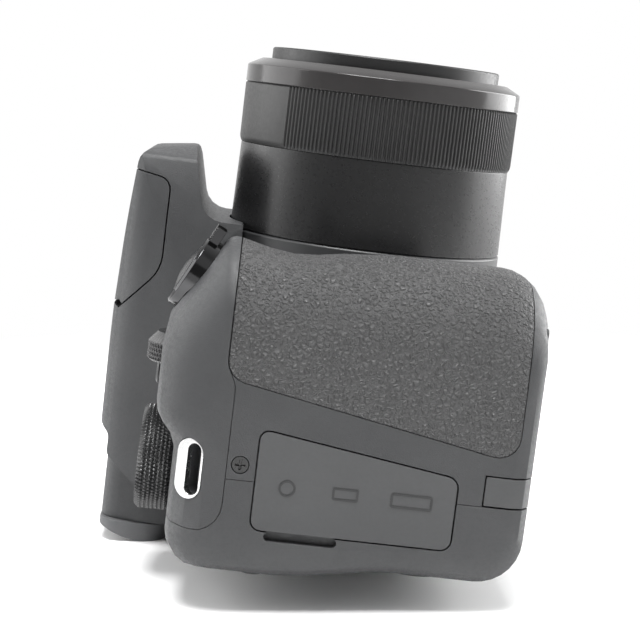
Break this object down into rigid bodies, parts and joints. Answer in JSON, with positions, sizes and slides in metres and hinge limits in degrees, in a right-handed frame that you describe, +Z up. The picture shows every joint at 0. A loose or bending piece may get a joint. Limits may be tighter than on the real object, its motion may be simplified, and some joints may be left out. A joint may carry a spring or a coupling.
{
  "type": "bridge camera",
  "caption": "Bridge camera with a telescoping zoom lens, hand grip, pop-up flash hump, electronic viewfinder, swing-out screen, dials, buttons and side flaps.",
  "frame": {"origin": "mouth of the tripod socket in the base, under the lens axis", "axes": "+Z up, -Y out of the lens, -X towards the hand grip"},
  "size_m": [0.127, 0.1166, 0.0908],
  "materials": {
    "body_plastic": "fine matte grain, charcoal black",
    "grip_rubber": "pebbled grain, black",
    "lens_plastic": "satin black",
    "knurl_rubber": "fine ridges, black",
    "trim_gloss": "polished black",
    "bright_metal": "bright satin plate",
    "plain_steel": "machined",
    "lens_metal": "black anodised",
    "black_screw": "black",
    "lens_glass": "coated",
    "screen_glass": "clear over a dark panel",
    "flash_clear": "ribbed",
    "lamp_lens": "tinted",
    "control_plastic": "semi-gloss black",
    "circuit_board": "lacquered",
    "inner_plastic": "moulded"
  },
  "bodies": {
    "body": {"front_cover": "body_plastic", "rear_cover": "body_plastic", "top_cover": "body_plastic", "grip_rubber": "grip_rubber", "port_block": "inner_plastic", "cover_screws": "black_screw", "strap_lugs": "bright_metal", "tripod_socket": "plain_steel", "battery_case": "inner_plastic", "battery": "inner_plastic", "memory_card": "inner_plastic", "lens_base_ring": "lens_plastic", "lens_barrel": "lens_plastic", "lens_grip_ring": "knurl_rubber", "lens_trim_ring": "trim_gloss", "lens_chassis": "lens_metal", "rear_group": "lens_glass", "image_sensor": "circuit_board", "zoom_motor": "plain_steel", "main_board": "circuit_board", "speaker": "inner_plastic", "focus_lamp": "lamp_lens", "flash_pin": "plain_steel", "finder_housing": "body_plastic", "eyecup": "grip_rubber", "finder_tube": "inner_plastic", "eyepiece": "lens_glass", "finder_display": "screen_glass"},
    "lens_middle": {"middle_tube": "lens_plastic", "zoom_group": "lens_glass"},
    "lens_front": {"front_tube": "lens_plastic", "front_bezel": "lens_plastic", "front_glass": "lens_glass"},
    "lens_cam": {"cam_ring": "lens_metal"},
    "flash": {"flash_head": "body_plastic", "flash_window": "flash_clear", "flash_tube": "flash_clear"},
    "screen_hinge": {"screen_arm": "body_plastic"},
    "screen_panel": {"screen_frame": "trim_gloss", "screen_back": "body_plastic", "screen": "screen_glass"},
    "terminal_lid": {"terminal_cover": "grip_rubber"},
    "lead_lid": {"lead_flap": "grip_rubber"},
    "battery_lid": {"battery_door": "body_plastic"},
    "latch": {"door_latch": "control_plastic"},
    "zoom_lever_body": {"zoom_lever": "bright_metal"},
    "shutter_button_body": {"shutter_button": "bright_metal"},
    "front_dial_body": {"front_dial": "control_plastic"},
    "mode_dial_body": {"mode_dial": "control_plastic"},
    "dioptre_dial_body": {"dioptre_dial": "control_plastic"},
    "power_button_body": {"power_button": "control_plastic"},
    "movie_button_body": {"movie_button": "control_plastic"},
    "playback_button_body": {"playback_button": "control_plastic"},
    "focus_button_body": {"focus_button": "control_plastic"},
    "menu_button_body": {"menu_button": "control_plastic"},
    "display_button_body": {"display_button": "control_plastic"},
    "four_way_pad_body": {"four_way_pad": "control_plastic"},
    "set_button_body": {"set_button": "control_plastic"},
    "framing_button_front_body": {"framing_button_front": "control_plastic"},
    "framing_button_rear_body": {"framing_button_rear": "control_plastic"}
  },
  "joints": [
    {"name": "zoom_middle", "type": "slide", "parent": "body", "child": "lens_middle", "axis": [0, -1, 0], "range_m": [0, 0.036]},
    {"name": "zoom_front", "type": "slide", "parent": "lens_middle", "child": "lens_front", "axis": [0, -1, 0], "range_m": [0, 0.036]},
    {"name": "cam_turn", "type": "hinge", "parent": "body", "child": "lens_cam", "pos_m": [0, -0.03, 0.0344], "axis": [0, 1, 0], "range_deg": [0, 120]},
    {"name": "flash_hinge", "type": "hinge", "parent": "body", "child": "flash", "pos_m": [0, -0.01022, 0.08935], "axis": [-1, 0, 0], "range_deg": [0, 60]},
    {"name": "screen_swing", "type": "hinge", "parent": "body", "child": "screen_hinge", "pos_m": [0.0485, 0.0335, 0.034], "axis": [0, 0, -1], "range_deg": [0, 175]},
    {"name": "screen_tilt", "type": "hinge", "parent": "screen_hinge", "child": "screen_panel", "pos_m": [0.0403, 0.0335, 0.034], "axis": [1, 0, 0], "range_deg": [0, 45]},
    {"name": "terminal_lid_hinge", "type": "hinge", "parent": "body", "child": "terminal_lid", "pos_m": [-0.0735, 0.0092, 0.0149], "axis": [0, -0.1404, 0.9901], "range_deg": [0, 110]},
    {"name": "lead_lid_hinge", "type": "hinge", "parent": "body", "child": "lead_lid", "pos_m": [-0.0735, 0.011, 0.0097], "axis": [0, 1, 0], "range_deg": [0, 90]},
    {"name": "battery_lid_hinge", "type": "hinge", "parent": "body", "child": "battery_lid", "pos_m": [-0.0449, -0.005, 0.0002], "axis": [0, -1, 0], "range_deg": [0, 100]},
    {"name": "latch_slide", "type": "slide", "parent": "battery_lid", "child": "latch", "axis": [1, 0, 0], "range_m": [0, 0.003]},
    {"name": "zoom_lever_turn", "type": "hinge", "parent": "body", "child": "zoom_lever_body", "pos_m": [-0.054, -0.0241, 0.0734], "axis": [0, -0.454, 0.891], "range_deg": [-25, 25], "stiffness_Nm_per_rad": 0.05},
    {"name": "shutter_press", "type": "slide", "parent": "body", "child": "shutter_button_body", "axis": [0, 0.454, -0.891], "range_m": [0, 0.001], "stiffness_N_per_m": 800},
    {"name": "front_dial_turn", "type": "hinge", "parent": "body", "child": "front_dial_body", "pos_m": [-0.05, -0.0071, 0.0719], "axis": [0, 1, 0], "continuous": true},
    {"name": "mode_dial_turn", "type": "hinge", "parent": "body", "child": "mode_dial_body", "pos_m": [-0.04, 0.019, 0.076], "axis": [0, 0, 1], "continuous": true},
    {"name": "dioptre_turn", "type": "hinge", "parent": "body", "child": "dioptre_dial_body", "pos_m": [0.0165, 0.0354, 0.07931], "axis": [1, 0, 0], "range_deg": [-120, 120]},
    {"name": "power_button_press", "type": "slide", "parent": "body", "child": "power_button_body", "axis": [0, 0, -1], "range_m": [0, 0.0008], "stiffness_N_per_m": 800},
    {"name": "movie_button_press", "type": "slide", "parent": "body", "child": "movie_button_body", "axis": [0, -1, 0], "range_m": [0, 0.0008], "stiffness_N_per_m": 800},
    {"name": "playback_button_press", "type": "slide", "parent": "body", "child": "playback_button_body", "axis": [0, -1, 0], "range_m": [0, 0.0008], "stiffness_N_per_m": 800},
    {"name": "focus_button_press", "type": "slide", "parent": "body", "child": "focus_button_body", "axis": [0, -1, 0], "range_m": [0, 0.0008], "stiffness_N_per_m": 800},
    {"name": "menu_button_press", "type": "slide", "parent": "body", "child": "menu_button_body", "axis": [0, -0.9855, 0.1697], "range_m": [0, 0.0008], "stiffness_N_per_m": 800},
    {"name": "display_button_press", "type": "slide", "parent": "body", "child": "display_button_body", "axis": [0, -0.9855, 0.1697], "range_m": [0, 0.0008], "stiffness_N_per_m": 800},
    {"name": "four_way_pad_press", "type": "slide", "parent": "body", "child": "four_way_pad_body", "axis": [0, -1, 0], "range_m": [0, 0.0005], "stiffness_N_per_m": 800},
    {"name": "set_button_press", "type": "slide", "parent": "body", "child": "set_button_body", "axis": [0, -1, 0], "range_m": [0, 0.0006], "stiffness_N_per_m": 800},
    {"name": "framing_button_front_press", "type": "slide", "parent": "body", "child": "framing_button_front_body", "axis": [-1, 0, 0], "range_m": [0, 0.0003], "stiffness_N_per_m": 800},
    {"name": "framing_button_rear_press", "type": "slide", "parent": "body", "child": "framing_button_rear_body", "axis": [-1, 0, 0], "range_m": [0, 0.0003], "stiffness_N_per_m": 800}
  ],
  "couplings": [
    {"joint": "zoom_front", "follows": "zoom_middle", "ratio": 1},
    {"joint": "cam_turn", "follows": "zoom_middle", "rad_per_m": 58.1},
    {"joint": "screen_tilt", "follows": "screen_swing", "ratio": 0.25}
  ]
}
